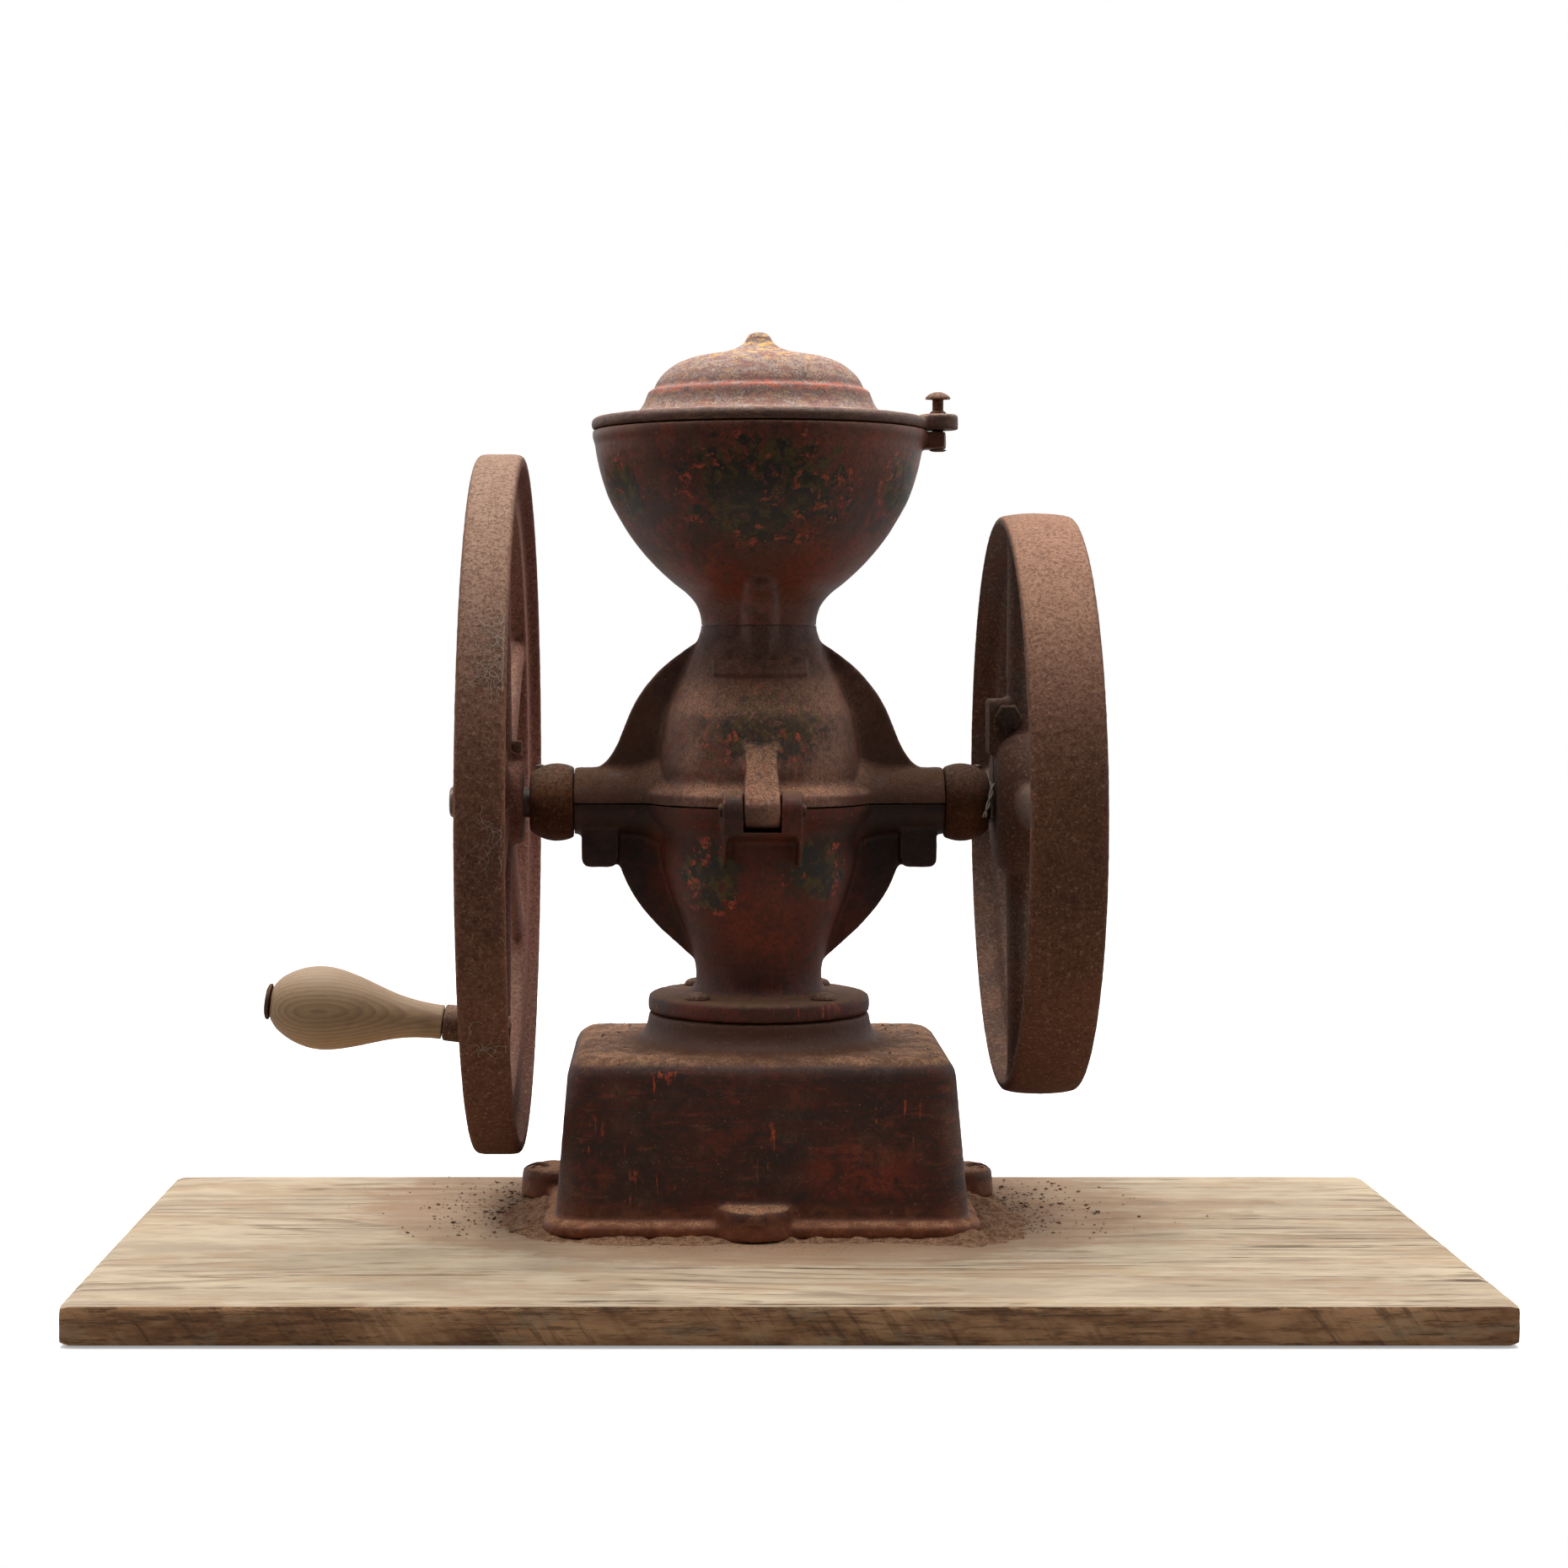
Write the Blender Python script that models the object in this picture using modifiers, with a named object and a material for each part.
"""Two-wheel cast-iron grain mill on a plank, modelled piece by piece.

Sizes are in millimetres and MM turns them into Blender's metres. The mill's upright axis is x = y = 0,
z = 0 is the underside of the board, the shaft runs along X, and the shells hinge open towards -Y.
"""
import math

import bmesh
import bpy
from mathutils import Matrix, Vector

MM = 0.001
GAP = 0.3                      # clearance between pieces that touch
BODY_STEPS = 20                # facets round a casting
WHEEL_STEPS = 40               # facets round a wheel
PIN_STEPS = 10                 # facets round a pin, bolt or bore

# Board and base
BOARD_LOW = (-379, -273, 0)
BOARD_HIGH = (398, 107, 23)
BASE_BOTTOM = BOARD_HIGH[2] + GAP
BASE_TOP = 127
LIP_TOP = 32
LIP_HALF = (130.5, 104)
WALL_HALF = (124, 98)
TOP_HALF = (115.5, 89.5)
BASE_WALL = 6
PEDESTAL_TOP = 145
FLANGE_RADIUS = 68.7
CHUTE_RADIUS = 32
EAR_RADIUS = 24
EAR_TOP = 40
EARS = {"front": (-5, -92), "left": (-126, 40), "right": (126, 40)}
EAR_SCREW_OFFSET = 15          # from the ear's centre, outwards
EAR_SCREW_RADIUS = 3
EAR_DISH_RADIUS = 8

# Drawer, behind
WINDOW_HALF = 100
WINDOW_TOP = 100
DRAWER_HALF = 97
DRAWER_LOW_Y = -84
DRAWER_HIGH_Y = 85.4
DRAWER_FLOOR = 24
DRAWER_TOP = 96
DRAWER_WALL = 8
FRONT_THICKNESS = 5
FRONT_CENTRE = (0, 91.5, 61.5)
KNOB_HEIGHT = 62

# Shells
SHAFT_Z = 274.4
SHAFT_RADIUS = 9.5
PARTING_LOW = SHAFT_Z - GAP / 2
PARTING_HIGH = SHAFT_Z + GAP / 2
LIP_RADIUS = 72
CAVITY_RADIUS = 56.5
FLANGE_BOTTOM = PEDESTAL_TOP + GAP
FLANGE_TOP = 156.5
NECK_TOP = 384.2
NECK_RADIUS = 35.8
THROAT_RADIUS = 30
ARM_END = 114.5
ARM_LOW_RADIUS = 20
ARM_HIGH_RADIUS = 21.9
WEB_THICKNESS = 9
FLANGE_BOLT_AT = 38.5
FLANGE_BOLT_RADIUS = 4
RIB_RADIUS = 12
RIB_CENTRE = 31
RIB_LOW = 363
RIB_HIGH = 411
STUD_RADIUS = 2.5
STUD_AT = 37.5

# Hinge of the shells
HINGE_Y = -80
HINGE_Z = 274
KNUCKLE_RADIUS = 11.8
KNUCKLE_NOTCH = 12.3
CENTRE_KNUCKLE = (-11.1, 11.1)
OUTER_KNUCKLES = ((-23.6, -11.45), (11.45, 24))
HINGE_PIN_RADIUS = 4
PIN_CLEARANCE = 0.42           # on the radius, so that faceted bores clear faceted pins

# Latch screw, behind
LATCH_Z = 291
LATCH_PAD_Y = 74
LATCH_LUG = (79, 90)
LATCH_SCREW_RADIUS = 3

# Grinding parts
BUSHING = (88, 113)
BUSHING_RADIUS = 14
BORE_RADIUS = SHAFT_RADIUS + PIN_CLEARANCE
PARTITION = (-12, -4)
FEED_RADIUS = 29
FIXED_BURR = (-3.7, 5)
FIXED_BURR_RADIUS = 50
FIXED_BURR_EYE = 24
TURNING_BURR = (5.5, 17)
TURNING_BURR_RADIUS = 48
BURR_TEETH = 8
WORM = (-46, -14)
WORM_RADIUS = 20
WORM_SLEEVE_RADIUS = 13
BURR_SCREW_ANGLES = {"front": 215, "rear": 325}
BURR_SCREW_CIRCLE = 37
WORM_TURNS = 1.6
WORM_STEPS = 22

# Hopper and lid
HOPPER_TOP = 505.2
RIM_RADIUS = 103.5
LID_BOTTOM = HOPPER_TOP + GAP
LID_RADIUS = 104
LID_PIN_X = 111.4
LID_PIN_RADIUS = 3.5
LID_EAR_RADIUS = 12.6
LID_EAR_THICKNESS = 10

# Shaft and wheels
SHAFT_ENDS = (-192, 202)
COLLAR_X = 125.5
COLLAR_RADIUS = 24.2
COLLAR_FACES = (114.8, 142)
FLYWHEEL_RADIUS = 216
FLYWHEEL = (-174, -145)
FLYWHEEL_WEB = (-164, -152.5)
FLYWHEEL_SPOKE_X = -159.5
FLYWHEEL_SCREW_X = -150.3
PULLEY_RADIUS = 179.6
PULLEY = (148.5, 193.5)
PULLEY_SPOKE_X = 162
PULLEY_HUB = (145.7, 184)
FLYWHEEL_SPOKES = 6
PULLEY_SPOKES = 4
CLAMP_BOLT_X = 153.6
CLAMP_BOLT_Z = 327.6
CLAMP_HALF = 12
WIRE_X = 143.9
WIRE_LOOP_RADIUS = 14
WIRE_RADIUS = 1

# Crank handle, on a leaning bolt
CRANK_START = (-174, -154.6, 156.5)
CRANK_LEAN = math.radians(6.8)
GRIP_START = 9.9               # along the bolt from CRANK_START
GRIP_LENGTH = 98.6
CRANK_BOLT_RADIUS = 4

MATERIALS = {
    "board": ((0.36, 0.28, 0.21), 0.85, 0.0),
    "casting": ((0.20, 0.11, 0.08), 0.7, 0.3),
    "hopper": ((0.27, 0.12, 0.08), 0.65, 0.2),
    "lid": ((0.23, 0.14, 0.11), 0.6, 0.3),
    "rust": ((0.24, 0.14, 0.09), 0.8, 0.3),
    "steel": ((0.30, 0.26, 0.22), 0.5, 0.8),
    "bronze": ((0.42, 0.28, 0.12), 0.45, 0.8),
    "grip": ((0.42, 0.36, 0.29), 0.75, 0.0),
}


# ---------------------------------------------------------------- helpers

def clear_scene():
    for thing in list(bpy.data.objects):
        bpy.data.objects.remove(thing, do_unlink=True)


def make_collections():
    made = []
    for name in ("grain_mill", "cutters"):
        group = bpy.data.collections.new(name)
        bpy.context.scene.collection.children.link(group)
        made.append(group)
    return made


def make_material(name):
    colour, roughness, metallic = MATERIALS[name]
    material = bpy.data.materials.new(name)
    material.use_nodes = True
    shader = material.node_tree.nodes["Principled BSDF"]
    shader.inputs["Base Color"].default_value = (*colour, 1)
    shader.inputs["Roughness"].default_value = roughness
    shader.inputs["Metallic"].default_value = metallic
    return material


def add_mesh_object(name, mesh):
    """A new object in the cutters' collection, where it stays unless it is named as a part."""
    thing = bpy.data.objects.new(name, mesh)
    CUTTERS.objects.link(thing)
    thing.hide_render = True
    thing.display_type = "WIRE"
    return thing


def as_part(thing, name, finish):
    """Moves a solid to the mill's own collection under its part's name."""
    thing.name = name
    thing.data.name = name
    CUTTERS.objects.unlink(thing)
    MILL.objects.link(thing)
    thing.hide_render = False
    thing.display_type = "SOLID"
    thing.data.materials.clear()
    thing.data.materials.append(FINISHES[finish])
    thing.data.shade_smooth()
    thing.data.set_sharp_from_angle(angle=math.radians(35))
    return thing


def mesh_from(build):
    mesh = bpy.data.meshes.new("solid")
    body = bmesh.new()
    build(body)
    bmesh.ops.recalc_face_normals(body, faces=body.faces)
    body.to_mesh(mesh)
    body.free()
    return mesh


def along(axis, at=(0, 0, 0)):
    """Matrix that takes local +Z to the axis and the local origin to a place in millimetres."""
    turn = Vector(axis).normalized().to_track_quat("Z", "Y").to_matrix().to_4x4()
    return Matrix.Translation(Vector(at) * MM) @ turn


def lathe(profile, steps=BODY_STEPS, axis=(0, 0, 1), at=(0, 0, 0)):
    """Turned solid. The profile's (radius, height) points run down the outer side; a ring's come back up
    the inner side. A profile that starts and ends on the axis makes a solid without a hole."""
    on_axis = profile[0][0] == 0
    points = [(radius * MM, 0, height * MM) for radius, height in profile]
    edges = [(i, i + 1) for i in range(len(points) - 1)]
    if not on_axis:
        edges.append((len(points) - 1, 0))
    mesh = bpy.data.meshes.new("profile")
    mesh.from_pydata(points, edges, [])
    thing = add_mesh_object("turned", mesh)
    thing.matrix_world = along(axis, at)
    screw = thing.modifiers.new("Turn", "SCREW")
    screw.steps = steps
    screw.render_steps = steps
    screw.use_merge_vertices = True
    screw.merge_threshold = 0.00001
    screw.use_normal_calculate = False
    return thing


def cylinder(radius, start, end, steps=PIN_STEPS, end_radius=None):
    """Round bar or cone between two points."""
    run = Vector(end) - Vector(start)

    def build(body):
        bmesh.ops.create_cone(body, cap_ends=True, segments=steps, radius1=radius * MM,
                              radius2=(radius if end_radius is None else end_radius) * MM,
                              depth=run.length * MM)
    thing = add_mesh_object("bar", mesh_from(build))
    thing.matrix_world = along(run, (Vector(start) + Vector(end)) / 2)
    return thing


def box(low, high, bevel=0, segments=2):
    def build(body):
        bmesh.ops.create_cube(body, size=1)
        for vertex in body.verts:
            for k in range(3):
                vertex.co[k] = (low[k] if vertex.co[k] < 0 else high[k]) * MM
        if bevel:
            bmesh.ops.bevel(body, geom=body.edges[:], offset=bevel * MM, segments=segments,
                            profile=0.5, affect="EDGES")
    return add_mesh_object("box", mesh_from(build))


def tapered_box(half_low, half_high, low, high, corner, top_round):
    """Box that narrows upwards, with rounded upright edges and a rounded top edge."""
    def build(body):
        bmesh.ops.create_cube(body, size=2)
        for vertex in body.verts:
            half, height = (half_low, low) if vertex.co.z < 0 else (half_high, high)
            vertex.co = Vector((vertex.co.x * half[0], vertex.co.y * half[1], height)) * MM
        upright = [edge for edge in body.edges if abs(edge.verts[0].co.z - edge.verts[1].co.z) > MM]
        bmesh.ops.bevel(body, geom=upright, offset=corner * MM, segments=3, profile=0.5, affect="EDGES")
        top = [edge for edge in body.edges if all(v.co.z > (high - 0.1) * MM for v in edge.verts)]
        bmesh.ops.bevel(body, geom=top, offset=top_round * MM, segments=2, profile=0.5, affect="EDGES")
    return add_mesh_object("tapered", mesh_from(build))


def plate(points, thickness, normal, at=(0, 0, 0)):
    """Flat piece from an outline: (x, z) points when its normal is Y, (y, z) points when it is X."""
    curve = bpy.data.curves.new("outline", "CURVE")
    curve.dimensions = "2D"
    curve.fill_mode = "BOTH"
    curve.extrude = thickness / 2 * MM
    line = curve.splines.new("POLY")
    line.points.add(len(points) - 1)
    for point, (across, up) in zip(line.points, points):
        point.co = (across * MM, up * MM, 0, 1)
    line.use_cyclic_u = True
    guide = bpy.data.objects.new("outline", curve)
    CUTTERS.objects.link(guide)
    evaluated = guide.evaluated_get(bpy.context.evaluated_depsgraph_get())
    mesh = bpy.data.meshes.new_from_object(evaluated)
    bpy.data.objects.remove(guide, do_unlink=True)
    body = bmesh.new()
    body.from_mesh(mesh)
    bmesh.ops.remove_doubles(body, verts=body.verts, dist=0.00001)
    bmesh.ops.recalc_face_normals(body, faces=body.faces)
    body.to_mesh(mesh)
    body.free()
    thing = add_mesh_object("plate", mesh)
    columns = ((0, 0, 1), (1, 0, 0), (0, 1, 0)) if normal == "X" else ((1, 0, 0), (0, 0, -1), (0, 1, 0))
    thing.matrix_world = Matrix.Translation(Vector(at) * MM) @ Matrix(columns).to_4x4()
    return thing


def change(target, tool, operation):
    modifier = target.modifiers.new(operation.title(), "BOOLEAN")
    modifier.operation = operation
    modifier.solver = "EXACT"
    modifier.object = tool


def join(target, *tools):
    for tool in tools:
        change(target, tool, "UNION")
    return target


def cut(target, *tools):
    for tool in tools:
        change(target, tool, "DIFFERENCE")
    return target


def keep_inside(target, tool):
    change(target, tool, "INTERSECT")
    return target


def bezier(start, pull_start, pull_end, end, count):
    """Points along a cubic curve, its two ends included."""
    found = []
    for i in range(count + 1):
        t = i / count
        weights = ((1 - t) ** 3, 3 * t * (1 - t) ** 2, 3 * t * t * (1 - t), t ** 3)
        knots = (start, pull_start, pull_end, end)
        found.append(tuple(sum(w * knot[k] for w, knot in zip(weights, knots)) for k in range(2)))
    return found


def mirrored(points):
    """An outline's right half, from the bottom up, closed by its mirror image across x = 0."""
    return points + [(-x, z) for x, z in reversed(points)]


# ---------------------------------------------------------------- board, base and drawer

def ear_screw_place(side):
    x, y = EARS[side]
    return {"front": (x, y - EAR_SCREW_OFFSET), "left": (x - EAR_SCREW_OFFSET, y),
            "right": (x + EAR_SCREW_OFFSET, y)}[side]


def make_board():
    board = box(BOARD_LOW, BOARD_HIGH, bevel=1.5, segments=1)
    for side in EARS:
        x, y = ear_screw_place(side)
        cut(board, cylinder(EAR_SCREW_RADIUS + PIN_CLEARANCE, (x, y, 6), (x, y, 40)))
    return as_part(board, "mounting_board", "board")


def make_base():
    base = tapered_box(WALL_HALF, TOP_HALF, BASE_BOTTOM, BASE_TOP, corner=20, top_round=17)
    lip = tapered_box(LIP_HALF, (129, 102.5), BASE_BOTTOM, LIP_TOP, corner=24, top_round=4)
    pedestal = lathe([(0, PEDESTAL_TOP), (FLANGE_RADIUS, PEDESTAL_TOP), (69.6, 140), (72, 134.5),
                      (76, 130), (84, 125), (84, 122), (0, 122)])
    join(base, lip, pedestal)
    for x, y in EARS.values():
        join(base, cylinder(EAR_RADIUS, (x, y, BASE_BOTTOM), (x, y, EAR_TOP), steps=24,
                            end_radius=EAR_RADIUS - 2))
    inside = tapered_box((WALL_HALF[0] - BASE_WALL, WALL_HALF[1] - BASE_WALL),
                         (TOP_HALF[0] - BASE_WALL, TOP_HALF[1] - BASE_WALL),
                         BASE_BOTTOM - 5, BASE_TOP - BASE_WALL, corner=14, top_round=10)
    cut(base, inside)
    cut(base, cylinder(CHUTE_RADIUS, (0, 0, 100), (0, 0, 160), steps=BODY_STEPS))
    cut(base, box((-WINDOW_HALF, 60, 10), (WINDOW_HALF, 140, WINDOW_TOP)))
    for side in EARS:
        x, y = ear_screw_place(side)
        cut(base, cylinder(EAR_SCREW_RADIUS + PIN_CLEARANCE, (x, y, 10), (x, y, 60)))
        cut(base, cylinder(EAR_DISH_RADIUS, (x, y, 36.2), (x, y, 60)))
    for x, y in flange_bolt_places().values():
        cut(base, cylinder(FLANGE_BOLT_RADIUS + PIN_CLEARANCE, (x, y, 124), (x, y, 160)))
    as_part(base, "base_casting", "casting")
    for side in EARS:
        x, y = ear_screw_place(side)
        screw = lathe([(0, 41.2), (4, 40.6), (6.4, 38.4), (6.6, 36.5), (EAR_SCREW_RADIUS, 36.5),
                       (EAR_SCREW_RADIUS, 9), (0, 7)], steps=PIN_STEPS, at=(x, y, 0))
        as_part(screw, f"base_screw_{side}", "rust")


def make_drawer():
    tray = box((-DRAWER_HALF, DRAWER_LOW_Y, DRAWER_FLOOR), (DRAWER_HALF, DRAWER_HIGH_Y, DRAWER_TOP))
    cut(tray, box((-DRAWER_HALF + DRAWER_WALL, DRAWER_LOW_Y + DRAWER_WALL, DRAWER_FLOOR + 6),
                  (DRAWER_HALF - DRAWER_WALL, DRAWER_HIGH_Y - DRAWER_WALL, DRAWER_TOP + 10)))
    as_part(tray, "drawer_box", "board")
    slope = math.atan((WALL_HALF[1] - TOP_HALF[1]) / (BASE_TOP - BASE_BOTTOM))
    front = box((-WINDOW_HALF + 1, -FRONT_THICKNESS / 2, -37), (WINDOW_HALF - 1, FRONT_THICKNESS / 2, 37),
                bevel=0.8, segments=1)
    front.matrix_world = Matrix.Translation(Vector(FRONT_CENTRE) * MM) @ Matrix.Rotation(slope, 4, "X")
    cut(front, cylinder(3 + PIN_CLEARANCE, (0, 80, KNOB_HEIGHT), (0, 110, KNOB_HEIGHT)))
    as_part(front, "drawer_front", "casting")
    knob = lathe([(0, 117), (4.5, 116), (8, 113), (9.5, 108.5), (8.5, 104), (5.5, 100.5), (5.2, 95),
                  (3, 94.5), (3, 87), (0, 87)], steps=20, axis=(0, 1, 0), at=(0, 0, KNOB_HEIGHT))
    as_part(knob, "drawer_knob", "steel")


# ---------------------------------------------------------------- shells

def flange_bolt_places():
    return {f"{row}_{side}": (sx * FLANGE_BOLT_AT, sy * FLANGE_BOLT_AT)
            for row, sy in (("front", -1), ("rear", 1)) for side, sx in (("left", -1), ("right", 1))}


def knuckle(reach, radius=KNUCKLE_RADIUS):
    return cylinder(radius, (reach[0], HINGE_Y, HINGE_Z), (reach[1], HINGE_Y, HINGE_Z), steps=20)


def bushing_pockets():
    return [cylinder(BUSHING_RADIUS + PIN_CLEARANCE, (side * (BUSHING[0] - GAP), 0, SHAFT_Z),
                     (side * (BUSHING[1] + GAP), 0, SHAFT_Z), steps=20) for side in (-1, 1)]


def shaft_tunnel():
    return cylinder(BORE_RADIUS + 0.6, (-130, 0, SHAFT_Z), (130, 0, SHAFT_Z), steps=20)


def make_lower_shell():
    outer = [(0, SHAFT_Z + 3), (LIP_RADIUS, SHAFT_Z + 3), (LIP_RADIUS, 268), (67, 263), (62.6, 257),
             (61.5, 248), (58, 228), (48.2, 201), (41.4, 181), (39.3, 172), (39.3, 164),
             (40.6, 160), (43, 157.4), (45.5, FLANGE_TOP), (66.5, FLANGE_TOP), (FLANGE_RADIUS, 154),
             (FLANGE_RADIUS, FLANGE_BOTTOM), (0, FLANGE_BOTTOM)]
    cavity = [(0, 280), (CAVITY_RADIUS, 280), (CAVITY_RADIUS, 262), (55.5, 248), (52, 228), (42, 201),
              (35.5, 181), (33, 172), (33, 140), (0, 140)]
    shell = lathe(outer)
    web = mirrored([(0, 178), (42, 179)] + bezier((44, 181), (68, 200), (82, 220), (87, 234), 8)
                   + [(96, 240), (96, 266), (0, 266)])
    join(shell, plate(web[1:], WEB_THICKNESS, "Y"))
    join(shell, cylinder(ARM_LOW_RADIUS, (-ARM_END, 0, SHAFT_Z), (ARM_END, 0, SHAFT_Z), steps=28))
    for side in (-1, 1):
        low, high = sorted((side * 87, side * 110))
        join(shell, box((low, -13, 234.6), (high, 13, 268), bevel=3))
    cut(shell, lathe(cavity))
    partition = box((PARTITION[0], -80, 214), (PARTITION[1], 80, 290))
    keep_inside(partition, lathe([(0, 300), (59, 300), (59, 248), (55, 228), (51, 212), (0, 212)]))
    join(shell, partition)
    cut(shell, box((-140, -76, PARTING_LOW), (140, 100, 330)))
    lug = [(-90.5, 271), (-89, 264), (-84, 255), (-72, 246), (-61, 240), (-58, 240), (-58, 271)]
    for reach in OUTER_KNUCKLES:
        join(shell, knuckle(reach))
        join(shell, plate(lug, reach[1] - reach[0] - 0.1, "X", at=((reach[0] + reach[1]) / 2, 0, 0)))
    latch_lug = [(58, 252), (70, 254), (LATCH_LUG[1] - 2, 262), (LATCH_LUG[1], 266), (LATCH_LUG[1], 300),
                 (LATCH_LUG[0], 300), (LATCH_LUG[0], 272), (58, 272)]
    join(shell, plate(latch_lug, 18, "X"))
    cut(shell, knuckle((CENTRE_KNUCKLE[0] - GAP, CENTRE_KNUCKLE[1] + GAP), KNUCKLE_NOTCH))
    cut(shell, hinge_bore(), latch_bore(), *bushing_pockets(), shaft_tunnel())
    cut(shell, cylinder(FEED_RADIUS, (PARTITION[0] - 3, 0, SHAFT_Z), (PARTITION[1] + 3, 0, SHAFT_Z), 24))
    for y, z in burr_screw_places().values():
        cut(shell, cylinder(2 + PIN_CLEARANCE, (-10, y, z), (0, y, z), steps=10))
    for x, y in flange_bolt_places().values():
        cut(shell, cylinder(FLANGE_BOLT_RADIUS + PIN_CLEARANCE, (x, y, 140), (x, y, 170)))
    return as_part(shell, "lower_shell", "casting")


def make_upper_shell():
    joint = NECK_TOP - GAP / 2
    outer = [(0, joint + 3), (NECK_RADIUS, joint + 3), (NECK_RADIUS, joint), (37.8, 376), (42.2, 365),
             (48.3, 351), (54.5, 336), (59, 326), (61.2, 311), (63.6, 297), (63.4, 289), (66, 284.5),
             (70.5, 282.6), (LIP_RADIUS, 280.5), (LIP_RADIUS, SHAFT_Z - 3), (0, SHAFT_Z - 3)]
    cavity = [(0, 400), (THROAT_RADIUS, 400), (THROAT_RADIUS, 376), (36, 365), (42.2, 351), (48.4, 336),
              (52.8, 326), (55, 311), (CAVITY_RADIUS, 297), (CAVITY_RADIUS, 270), (0, 270)]
    shell = lathe(outer)
    web = ([(0, 284), (96, 284), (96, 300.5)] + bezier((93, 304), (89, 308), (86.5, 314), (84, 321), 3)
           + bezier((82.5, 325), (77, 340), (66, 353), (41.6, 372), 7) + [(0, 374)])
    join(shell, plate(mirrored(web)[:-1], WEB_THICKNESS, "Y"))
    join(shell, cylinder(ARM_HIGH_RADIUS, (-ARM_END, 0, SHAFT_Z), (ARM_END, 0, SHAFT_Z), steps=28))
    for side in (-1, 1):
        y = side * RIB_CENTRE
        join(shell, cylinder(RIB_RADIUS, (0, y, RIB_LOW), (0, y, joint + 5), steps=20))
    band = lathe([(46.3, 363), (50.2, 354), (40, 354), (40, 363)])
    keep_inside(band, box((-30, -60, 350), (30, 0, 366)))
    join(shell, band)
    strap = [(-90, 276), (-88, 283), (-80, 289), (-68, 302), (-61, 311), (-50, 311), (-50, 284), (-74, 276)]
    join(shell, plate(strap, CENTRE_KNUCKLE[1] - CENTRE_KNUCKLE[0] - 0.1, "X"))
    join(shell, box((-7, 50, 284), (7, LATCH_PAD_Y, 298)))
    cut(shell, lathe(cavity))
    partition = box((PARTITION[0], -80, 260), (PARTITION[1], 80, 322))
    keep_inside(partition, lathe([(0, 326), (55, 326), (58, 311), (59.5, 297), (59.5, 260), (0, 260)]))
    join(shell, partition)
    cut(shell, box((-140, -200, 180), (140, 100, PARTING_HIGH)), box((-60, -60, joint), (60, 60, 420)))
    join(shell, knuckle(CENTRE_KNUCKLE))
    for reach in OUTER_KNUCKLES:
        cut(shell, knuckle((reach[0] - GAP, reach[1] + GAP), KNUCKLE_NOTCH))
    cut(shell, hinge_bore(), *bushing_pockets(), shaft_tunnel())
    cut(shell, cylinder(FEED_RADIUS, (PARTITION[0] - 3, 0, SHAFT_Z), (PARTITION[1] + 3, 0, SHAFT_Z), 24))
    cut(shell, cylinder(FIXED_BURR_RADIUS + 1.2, (PARTITION[1] - 0.5, 0, SHAFT_Z), (30, 0, SHAFT_Z), 36))
    for side in (-1, 1):
        y = side * STUD_AT
        cut(shell, cylinder(STUD_RADIUS + PIN_CLEARANCE, (0, y, 371), (0, y, 400)))
    return as_part(shell, "upper_shell", "casting")


def hinge_bore():
    return cylinder(HINGE_PIN_RADIUS + PIN_CLEARANCE, (-40, HINGE_Y, HINGE_Z), (40, HINGE_Y, HINGE_Z))


def latch_bore():
    return cylinder(LATCH_SCREW_RADIUS + PIN_CLEARANCE, (0, 76, LATCH_Z), (0, 100, LATCH_Z))


def make_shell_fasteners():
    for place, (x, y) in flange_bolt_places().items():
        bolt = lathe([(0, 161), (4.5, 160.6), (7.2, 159), (8, FLANGE_TOP + GAP),
                      (FLANGE_BOLT_RADIUS, FLANGE_TOP + GAP), (FLANGE_BOLT_RADIUS, 126), (0, 126)],
                     steps=PIN_STEPS, at=(x, y, 0))
        as_part(bolt, f"flange_bolt_{place}", "rust")
    pin = cylinder(HINGE_PIN_RADIUS, (-26, HINGE_Y, HINGE_Z), (26.5, HINGE_Y, HINGE_Z))
    as_part(pin, "hinge_pin", "steel")
    screw = lathe([(0, 108), (5, 107), (7, 105), (7, 100), (4.5, 97), (4.5, 91), (LATCH_SCREW_RADIUS, 90.6),
                   (LATCH_SCREW_RADIUS, LATCH_PAD_Y + GAP + 0.1), (0, LATCH_PAD_Y + GAP + 0.1)],
                  steps=PIN_STEPS, axis=(0, 1, 0), at=(0, 0, LATCH_Z))
    join(screw, box((-15, 99, LATCH_Z - 4), (15, 105, LATCH_Z + 4), bevel=1.5, segments=1))
    as_part(screw, "latch_screw", "steel")
    for name, side in (("left", -1), ("right", 1)):
        low, high = sorted((side * BUSHING[0], side * BUSHING[1]))
        section = [(BUSHING_RADIUS, high), (BUSHING_RADIUS, low), (BORE_RADIUS, low), (BORE_RADIUS, high)]
        ring = lathe(section, steps=20, axis=(1, 0, 0), at=(0, 0, SHAFT_Z))
        as_part(ring, f"bushing_{name}", "bronze")


# ---------------------------------------------------------------- grinding parts

def burr_screw_places():
    found = {}
    for name, degrees in BURR_SCREW_ANGLES.items():
        angle = math.radians(degrees)
        found[name] = (BURR_SCREW_CIRCLE * math.cos(angle), SHAFT_Z + BURR_SCREW_CIRCLE * math.sin(angle))
    return found


def burr_grooves(low, high, inner, outer):
    """Radial V grooves in a burr's face, between two heights along X."""
    found = []
    for i in range(BURR_TEETH):
        turn = Matrix.Rotation(math.tau * (i + 0.5) / BURR_TEETH, 4, "X")
        groove = box((low, -1.6, inner), (high, 1.6, outer))
        groove.matrix_world = Matrix.Translation((0, 0, SHAFT_Z * MM)) @ turn @ groove.matrix_world
        found.append(groove)
    return found


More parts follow.
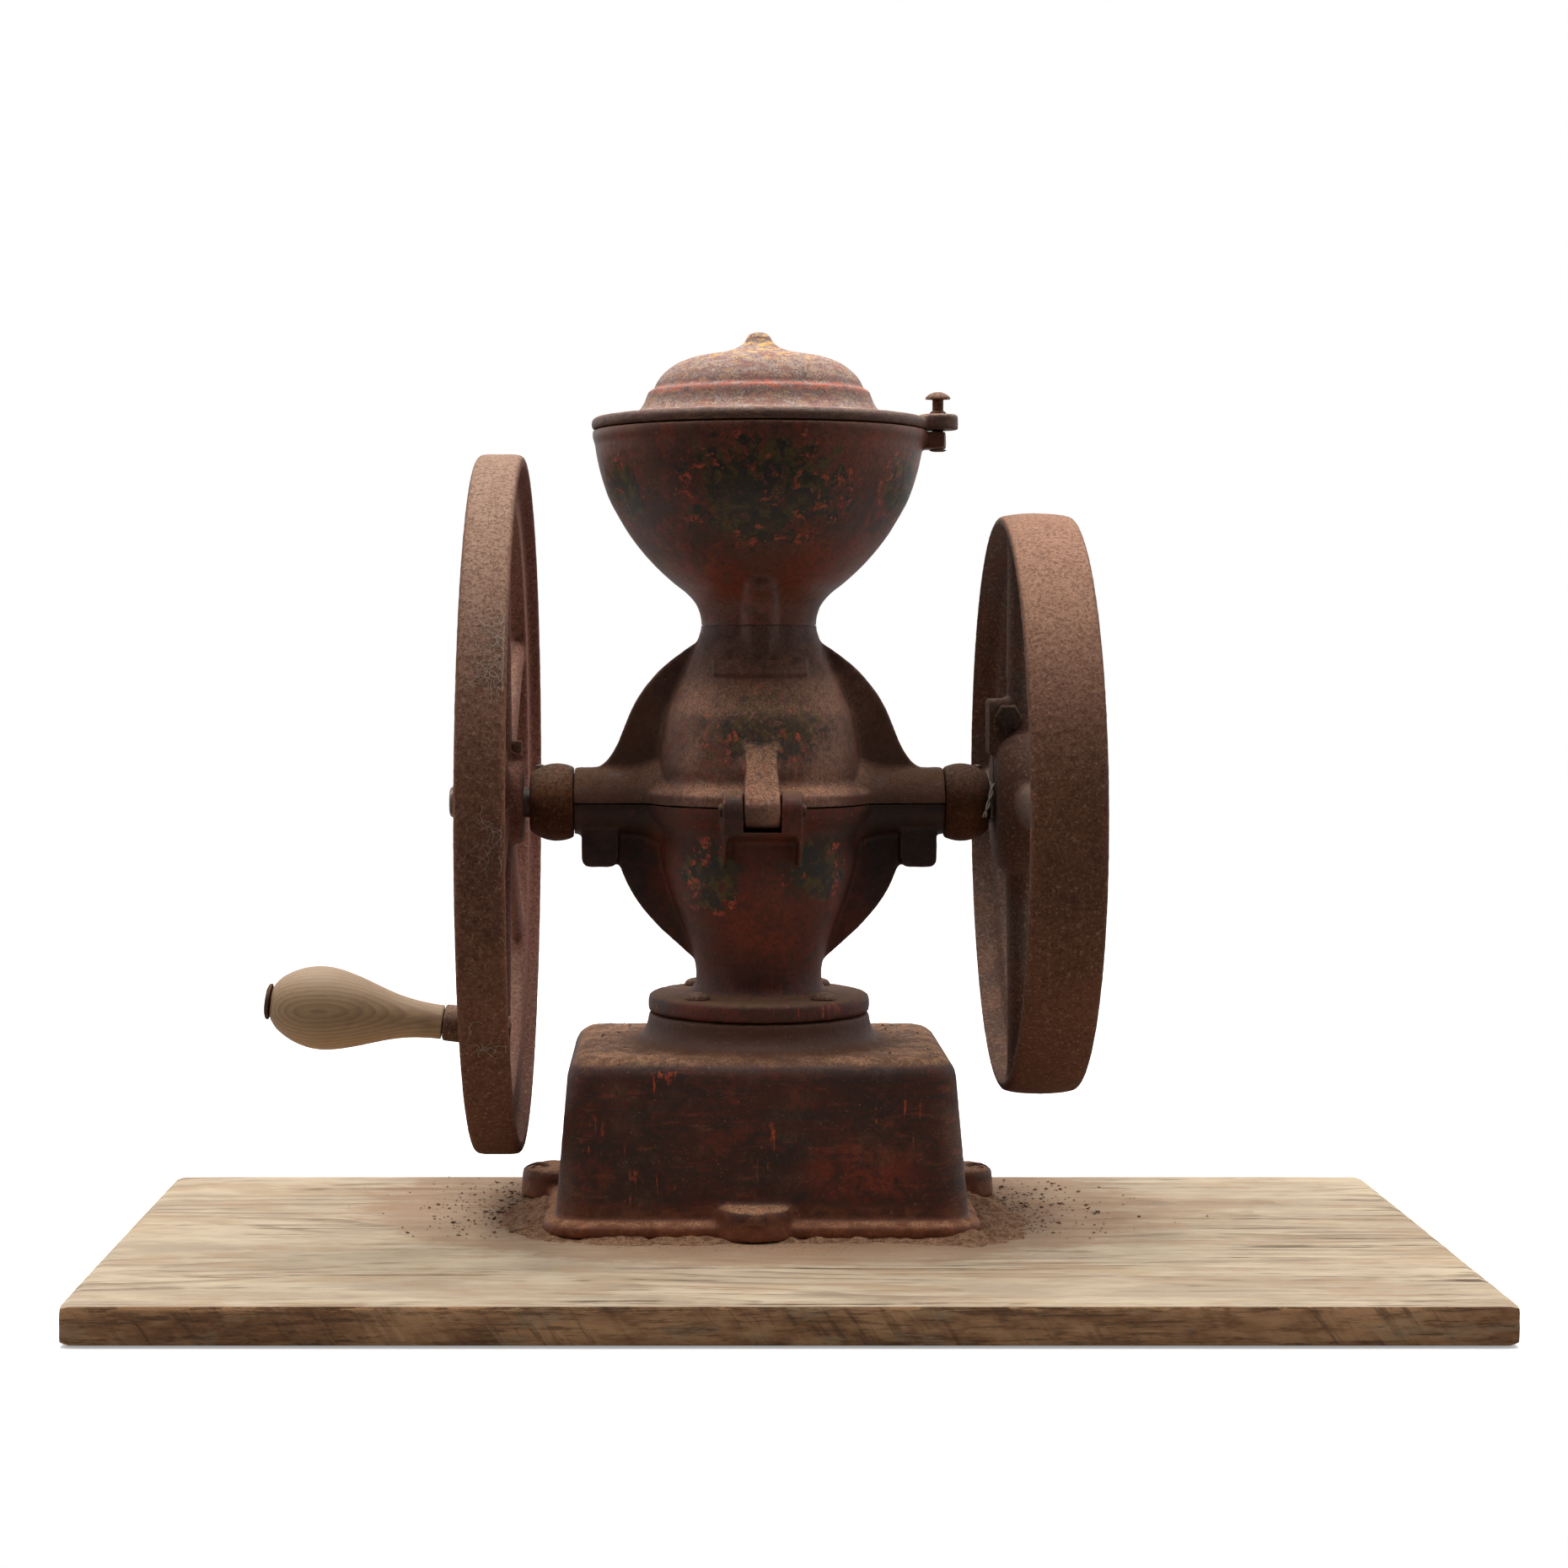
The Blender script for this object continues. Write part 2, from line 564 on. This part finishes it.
def make_burrs():
    low, high = FIXED_BURR
    fixed = lathe([(FIXED_BURR_RADIUS, high - 1), (FIXED_BURR_RADIUS, low), (FIXED_BURR_EYE, low),
                   (FIXED_BURR_EYE, high - 2), (FIXED_BURR_EYE + 2, high), (FIXED_BURR_RADIUS - 1, high)],
                  axis=(1, 0, 0), at=(0, 0, SHAFT_Z))
    cut(fixed, *burr_grooves(high - 2, high + 2, FIXED_BURR_EYE - 4, FIXED_BURR_RADIUS + 4))
    for name, (y, z) in burr_screw_places().items():
        cut(fixed, cylinder(2 + PIN_CLEARANCE, (-8, y, z), (8, y, z), steps=10))
        cut(fixed, cylinder(4.2, (1.2, y, z), (8, y, z), steps=10))
        screw = lathe([(0, 4), (3.6, 4), (3.6, 1.6), (2, 1.6), (2, -9), (0, -9)], steps=10,
                      axis=(1, 0, 0), at=(0, y, z))
        as_part(screw, f"burr_screw_{name}", "steel")
    as_part(fixed, "fixed_burr", "steel")
    low, high = TURNING_BURR
    burr = lathe([(TURNING_BURR_RADIUS, high - 2), (TURNING_BURR_RADIUS, low), (BORE_RADIUS, low),
                  (BORE_RADIUS, high + 8), (16, high + 8), (17, high), (TURNING_BURR_RADIUS - 2, high)],
                 axis=(1, 0, 0), at=(0, 0, SHAFT_Z))
    cut(burr, *burr_grooves(low - 2, low + 2, 20, TURNING_BURR_RADIUS + 4))
    as_part(burr, "rotating_burr", "steel")


def make_worm():
    """Feed worm: a sleeve with one helical flight, swept by turning a small section along the shaft."""
    low, high = WORM

    def build(body):
        section = [body.verts.new((r * MM, 0, h * MM))
                   for r, h in ((WORM_RADIUS, 5), (WORM_RADIUS, 1), (WORM_SLEEVE_RADIUS - 1.5, 0),
                                (WORM_SLEEVE_RADIUS - 1.5, 6))]
        face = body.faces.new(section)
        bmesh.ops.spin(body, geom=[face] + section + list(face.edges), cent=(0, 0, 0), axis=(0, 0, 1),
                       dvec=(0, 0, (high - low - 8) * MM / WORM_STEPS), angle=math.tau * WORM_TURNS,
                       steps=WORM_STEPS)
    flight = add_mesh_object("flight", mesh_from(build))
    flight.matrix_world = along((1, 0, 0), (low + 1, 0, SHAFT_Z))
    sleeve = lathe([(WORM_SLEEVE_RADIUS, high), (WORM_SLEEVE_RADIUS, low), (BORE_RADIUS, low),
                    (BORE_RADIUS, high)], steps=20, axis=(1, 0, 0), at=(0, 0, SHAFT_Z))
    join(sleeve, flight)
    as_part(sleeve, "feed_worm", "steel")


# ---------------------------------------------------------------- hopper and lid

def make_hopper():
    joint = NECK_TOP + GAP / 2
    outer = [(RIM_RADIUS, HOPPER_TOP), (RIM_RADIUS, 500), (102, 496.5), (100.2, 487), (97, 474),
             (92.8, 462), (86.9, 451), (79.4, 438.5), (70.5, 427), (62, 418), (54, 411), (44, 403.5), (38.4, 396),
             (36, 389), (NECK_RADIUS, joint), (NECK_RADIUS, joint - 3)]
    inner = [(THROAT_RADIUS, joint - 3), (THROAT_RADIUS, 391), (33.5, 399), (40, 407), (50, 415),
             (66, 430.5), (75, 441.5), (82.5, 453.5), (92, 475), (96, 492), (98, HOPPER_TOP)]
    hopper = lathe(outer + inner)
    for side in (-1, 1):
        rib = cylinder(RIB_RADIUS, (0, side * RIB_CENTRE, joint - 5), (0, side * RIB_CENTRE, RIB_HIGH), 20)
        cut(rib, lathe([(0, 420), (THROAT_RADIUS + 14, 420), (THROAT_RADIUS + 6, 403),
                        (THROAT_RADIUS + 2, 396), (THROAT_RADIUS + 2, 370), (0, 370)]))
        join(hopper, rib)
    ear = cylinder(9.5, (107.1, 0, 496), (107.1, 0, HOPPER_TOP - 0.7), 20)
    cut(ear, lathe([(0, 520), (100.5, 520), (100.5, 480), (0, 480)]))
    join(hopper, ear)
    cut(hopper, box((-60, -60, 350), (60, 60, joint)))
    cut(hopper, cylinder(LID_PIN_RADIUS + PIN_CLEARANCE, (LID_PIN_X, 0, 480), (LID_PIN_X, 0, 520)))
    for side, name in ((-1, "front"), (1, "rear")):
        place = (0, side * STUD_AT)
        cut(hopper, cylinder(STUD_RADIUS + PIN_CLEARANCE, (*place, 380), (*place, 397)))
        as_part(cylinder(STUD_RADIUS, (*place, 372), (*place, 396)), f"hopper_stud_{name}", "steel")
    as_part(hopper, "hopper", "hopper")
    pin = lathe([(0, 529.4), (4, 528.8), (7.2, 526.8), (8, 524.7), (LID_PIN_RADIUS, 524.7),
                 (LID_PIN_RADIUS, 495.6), (5.4, 495.6), (5, 492.5), (0, 492)], steps=PIN_STEPS,
                at=(LID_PIN_X, 0, 0))
    as_part(pin, "lid_pin", "rust")


def make_lid():
    top = [(0, 566.7), (4.6, 566), (7.4, 563.8), (9.6, 560.2), (14.5, 556.4), (24, 553.1), (42.5, 550.2),
           (55, 544), (63, 536.5), (65.5, 531), (67.8, 529.6), (69.6, 527), (73.5, 518.6), (78, 514.2),
           (101, 513), (LID_RADIUS, 511), (LID_RADIUS, 507), (102.6, LID_BOTTOM), (0, LID_BOTTOM)]
    cavity = [(0, 549), (22, 548), (40, 544.5), (51.5, 538.5), (59, 529), (66, 515), (72, 509.5),
              (95, 508.5), (97, 500), (0, 500)]
    lid = lathe(top)
    join(lid, cylinder(LID_EAR_RADIUS, (LID_PIN_X, 0, LID_BOTTOM),
                       (LID_PIN_X, 0, LID_BOTTOM + LID_EAR_THICKNESS), 24))
    join(lid, box((88, -11, LID_BOTTOM), (LID_PIN_X, 11, LID_BOTTOM + 8.5)))
    cut(lid, lathe(cavity))
    cut(lid, cylinder(LID_PIN_RADIUS + PIN_CLEARANCE, (LID_PIN_X, 0, 490), (LID_PIN_X, 0, 530)))
    as_part(lid, "lid", "lid")


# ---------------------------------------------------------------- shaft, wheels and collars

def make_spokes(wheel, count, x, inner, outer, thick, thin, depth):
    """Tapered oval spokes, one straight up and one straight down."""
    for i in range(count):
        def build(body):
            bmesh.ops.create_cone(body, cap_ends=True, segments=10, radius1=thick * MM, radius2=thin * MM,
                                  depth=(outer - inner) * MM)
            bmesh.ops.scale(body, vec=(depth, 1, 1), verts=body.verts)
            bmesh.ops.translate(body, vec=(0, 0, (inner + outer) / 2 * MM), verts=body.verts)
        spoke = add_mesh_object("spoke", mesh_from(build))
        turn = Matrix.Rotation(math.tau * i / count, 4, "X")
        spoke.matrix_world = Matrix.Translation(Vector((x, 0, SHAFT_Z)) * MM) @ turn
        join(wheel, spoke)


def make_flywheel():
    radius = FLYWHEEL_RADIUS
    low, high = FLYWHEEL
    web_low, web_high = FLYWHEEL_WEB
    rim = [(radius - 4, high), (radius - 1, high - 1.5), (radius, high - 5), (radius, low + 5),
           (radius - 1, low + 1.5), (radius - 4, low), (radius - 8, low), (radius - 10, web_low),
           (radius - 33, web_low), (radius - 35, web_low + 3), (radius - 35, web_high - 3),
           (radius - 33, web_high), (radius - 10, web_high), (radius - 8, high)]
    wheel = lathe(rim, steps=WHEEL_STEPS, axis=(1, 0, 0), at=(0, 0, SHAFT_Z))
    make_spokes(wheel, FLYWHEEL_SPOKES, FLYWHEEL_SPOKE_X, 23, radius - 31, thick=12, thin=9, depth=0.53)
    hub = lathe([(0, -145.8), (24, -145.8), (26, -148), (26, -168), (22, -174), (15, -178), (14, -181),
                 (14, -189), (13, -190), (0, -190)], steps=28, axis=(1, 0, 0), at=(0, 0, SHAFT_Z))
    join(wheel, hub)
    x = FLYWHEEL_SCREW_X
    join(wheel, cylinder(4.4, (x, 0, SHAFT_Z + 18), (x, 0, SHAFT_Z + 31), 16))
    cut(wheel, cylinder(BORE_RADIUS, (-200, 0, SHAFT_Z), (-140, 0, SHAFT_Z), 20))
    cut(wheel, cylinder(2.4 + PIN_CLEARANCE, (x, 0, SHAFT_Z + 5), (x, 0, SHAFT_Z + 40)))
    cut(wheel, crank_bar(CRANK_BOLT_RADIUS + PIN_CLEARANCE, -30, 2))
    as_part(wheel, "flywheel", "rust")
    screw = cylinder(2.4, (x, 0, SHAFT_Z + 10), (x, 0, SHAFT_Z + 34))
    join(screw, box((x - 2.8, -2.8, SHAFT_Z + 31.4), (x + 2.8, 2.8, SHAFT_Z + 38), bevel=0.6, segments=1))
    as_part(screw, "flywheel_set_screw", "rust")


def make_pulley():
    radius = PULLEY_RADIUS
    low, high = PULLEY
    middle = (low + high) / 2
    rim = [(radius - 2.2, high), (radius - 0.7, high - 10), (radius, middle), (radius - 0.7, low + 10),
           (radius - 2.2, low), (radius - 7.2, low), (radius - 6.5, middle - 9), (radius - 16, middle - 6),
           (radius - 16, middle + 6), (radius - 6.5, middle + 9), (radius - 7.2, high)]
    wheel = lathe(rim, steps=WHEEL_STEPS, axis=(1, 0, 0), at=(0, 0, SHAFT_Z))
    make_spokes(wheel, PULLEY_SPOKES, PULLEY_SPOKE_X, 30, radius - 12, thick=13, thin=10, depth=0.7)
    hub = lathe([(0, PULLEY_HUB[1]), (24, PULLEY_HUB[1]), (26, 182), (27, 172), (43, 168), (46, 164),
                 (46, 156), (41, 149), (34, PULLEY_HUB[0]), (0, PULLEY_HUB[0])],
                steps=28, axis=(1, 0, 0), at=(0, 0, SHAFT_Z))
    lug = box((141.8, -CLAMP_HALF, 307), (168, CLAMP_HALF, 339), bevel=3, segments=1)
    join(wheel, hub, lug)
    cut(wheel, cylinder(BORE_RADIUS, (130, 0, SHAFT_Z), (200, 0, SHAFT_Z), 20))
    cut(wheel, box((130, -1.2, SHAFT_Z), (169, 1.2, 350)))
    ends = [(CLAMP_BOLT_X, side * 30, CLAMP_BOLT_Z) for side in (-1, 1)]
    cut(wheel, cylinder(4 + PIN_CLEARANCE, *ends))
    as_part(wheel, "pulley", "rust")
    head = cylinder(8.6, (CLAMP_BOLT_X, -CLAMP_HALF - 7, CLAMP_BOLT_Z),
                    (CLAMP_BOLT_X, -CLAMP_HALF - GAP, CLAMP_BOLT_Z), 6)
    join(head, cylinder(4, (CLAMP_BOLT_X, -CLAMP_HALF - 3, CLAMP_BOLT_Z), (CLAMP_BOLT_X, 22, CLAMP_BOLT_Z)))
    as_part(head, "clamp_bolt", "rust")
    nut = cylinder(8.6, (CLAMP_BOLT_X, CLAMP_HALF + GAP, CLAMP_BOLT_Z),
                   (CLAMP_BOLT_X, CLAMP_HALF + 7, CLAMP_BOLT_Z), 6)
    cut(nut, cylinder(4 + PIN_CLEARANCE, (CLAMP_BOLT_X, 0, CLAMP_BOLT_Z), (CLAMP_BOLT_X, 40, CLAMP_BOLT_Z)))
    as_part(nut, "clamp_nut", "rust")


def make_collars():
    near, far = COLLAR_FACES
    arc = [near + (far - near) * i / 6 for i in range(7)]
    for name, side in (("left", -1), ("right", 1)):
        ball = [(math.sqrt(COLLAR_RADIUS ** 2 - (x - COLLAR_X) ** 2), x) for x in reversed(arc)]
        ring = ball + [(BORE_RADIUS, near), (BORE_RADIUS, far)]
        collar = lathe(ring, steps=16, axis=(side, 0, 0), at=(0, 0, SHAFT_Z))
        x = side * 136
        cut(collar, cylinder(2.5 + PIN_CLEARANCE, (x, 0, SHAFT_Z + 4), (x, 0, SHAFT_Z + 40), 12))
        as_part(collar, f"collar_{name}", "rust")
        screw = cylinder(2.5, (x, 0, SHAFT_Z + 9.9), (x, 0, SHAFT_Z + 23.5), 12)
        as_part(screw, f"collar_screw_{name}", "steel")


def make_shaft_wire():
    """A turn of wire that lies loosely round the shaft between the right collar and the pulley's hub."""
    bpy.ops.mesh.primitive_torus_add(
        major_segments=20, minor_segments=6, major_radius=WIRE_LOOP_RADIUS * MM, minor_radius=WIRE_RADIUS * MM,
        location=(WIRE_X * MM, 0, SHAFT_Z * MM), rotation=(0, math.pi / 2, 0))
    wire = bpy.context.object
    for group in list(wire.users_collection):
        group.objects.unlink(wire)
    CUTTERS.objects.link(wire)
    as_part(wire, "shaft_wire", "steel")


def make_shaft():
    low, high = SHAFT_ENDS
    chamfer = 1.5
    shaft = lathe([(0, high), (SHAFT_RADIUS - chamfer, high), (SHAFT_RADIUS, high - chamfer),
                   (SHAFT_RADIUS, low + chamfer), (SHAFT_RADIUS - chamfer, low), (0, low)],
                  steps=20, axis=(1, 0, 0), at=(0, 0, SHAFT_Z))
    as_part(shaft, "shaft", "steel")


# ---------------------------------------------------------------- crank handle

def crank_axis():
    return Vector((-math.cos(CRANK_LEAN), 0, math.sin(CRANK_LEAN)))


def crank_point(distance):
    return Vector(CRANK_START) + crank_axis() * distance


def crank_bar(radius, start, end, steps=PIN_STEPS):
    return cylinder(radius, crank_point(start), crank_point(end), steps)


def make_handle():
    grip_end = GRIP_START + GRIP_LENGTH
    web_face = 8.4             # from CRANK_START back to the flywheel's web
    bolt = crank_bar(CRANK_BOLT_RADIUS, -29, grip_end + 2)
    join(bolt, crank_bar(10.4, grip_end + GAP, grip_end + 3.6, steps=20))
    as_part(bolt, "handle_bolt", "rust")
    ferrule = crank_bar(10.5, -web_face, GRIP_START - GAP, steps=20)
    cut(ferrule, crank_bar(CRANK_BOLT_RADIUS + PIN_CLEARANCE, -20, 40))
    as_part(ferrule, "handle_ferrule", "rust")
    nut = crank_bar(8.4, -28, -23.5, steps=6)
    cut(nut, crank_bar(CRANK_BOLT_RADIUS + PIN_CLEARANCE, -40, 0))
    as_part(nut, "handle_nut", "rust")
    bore = CRANK_BOLT_RADIUS + PIN_CLEARANCE
    belly = [(8.5, 0), (9.8, -1), (15.5, -6), (19.5, -12.5), (22.6, -20), (23.8, -29), (22.9, -38),
             (20.2, -49), (16.6, -60), (13, -71), (10.8, -82), (9.9, -92), (9.8, -GRIP_LENGTH)]
    grip = lathe([(bore, 0)] + belly + [(bore, -GRIP_LENGTH)], steps=16, axis=crank_axis(),
                 at=crank_point(grip_end))
    as_part(grip, "handle_grip", "grip")


clear_scene()
MILL, CUTTERS = make_collections()
FINISHES = {name: make_material(name) for name in MATERIALS}
make_board()
make_base()
make_drawer()
make_lower_shell()
make_upper_shell()
make_shell_fasteners()
make_burrs()
make_worm()
make_hopper()
make_lid()
make_shaft()
make_flywheel()
make_pulley()
make_collars()
make_shaft_wire()
make_handle()
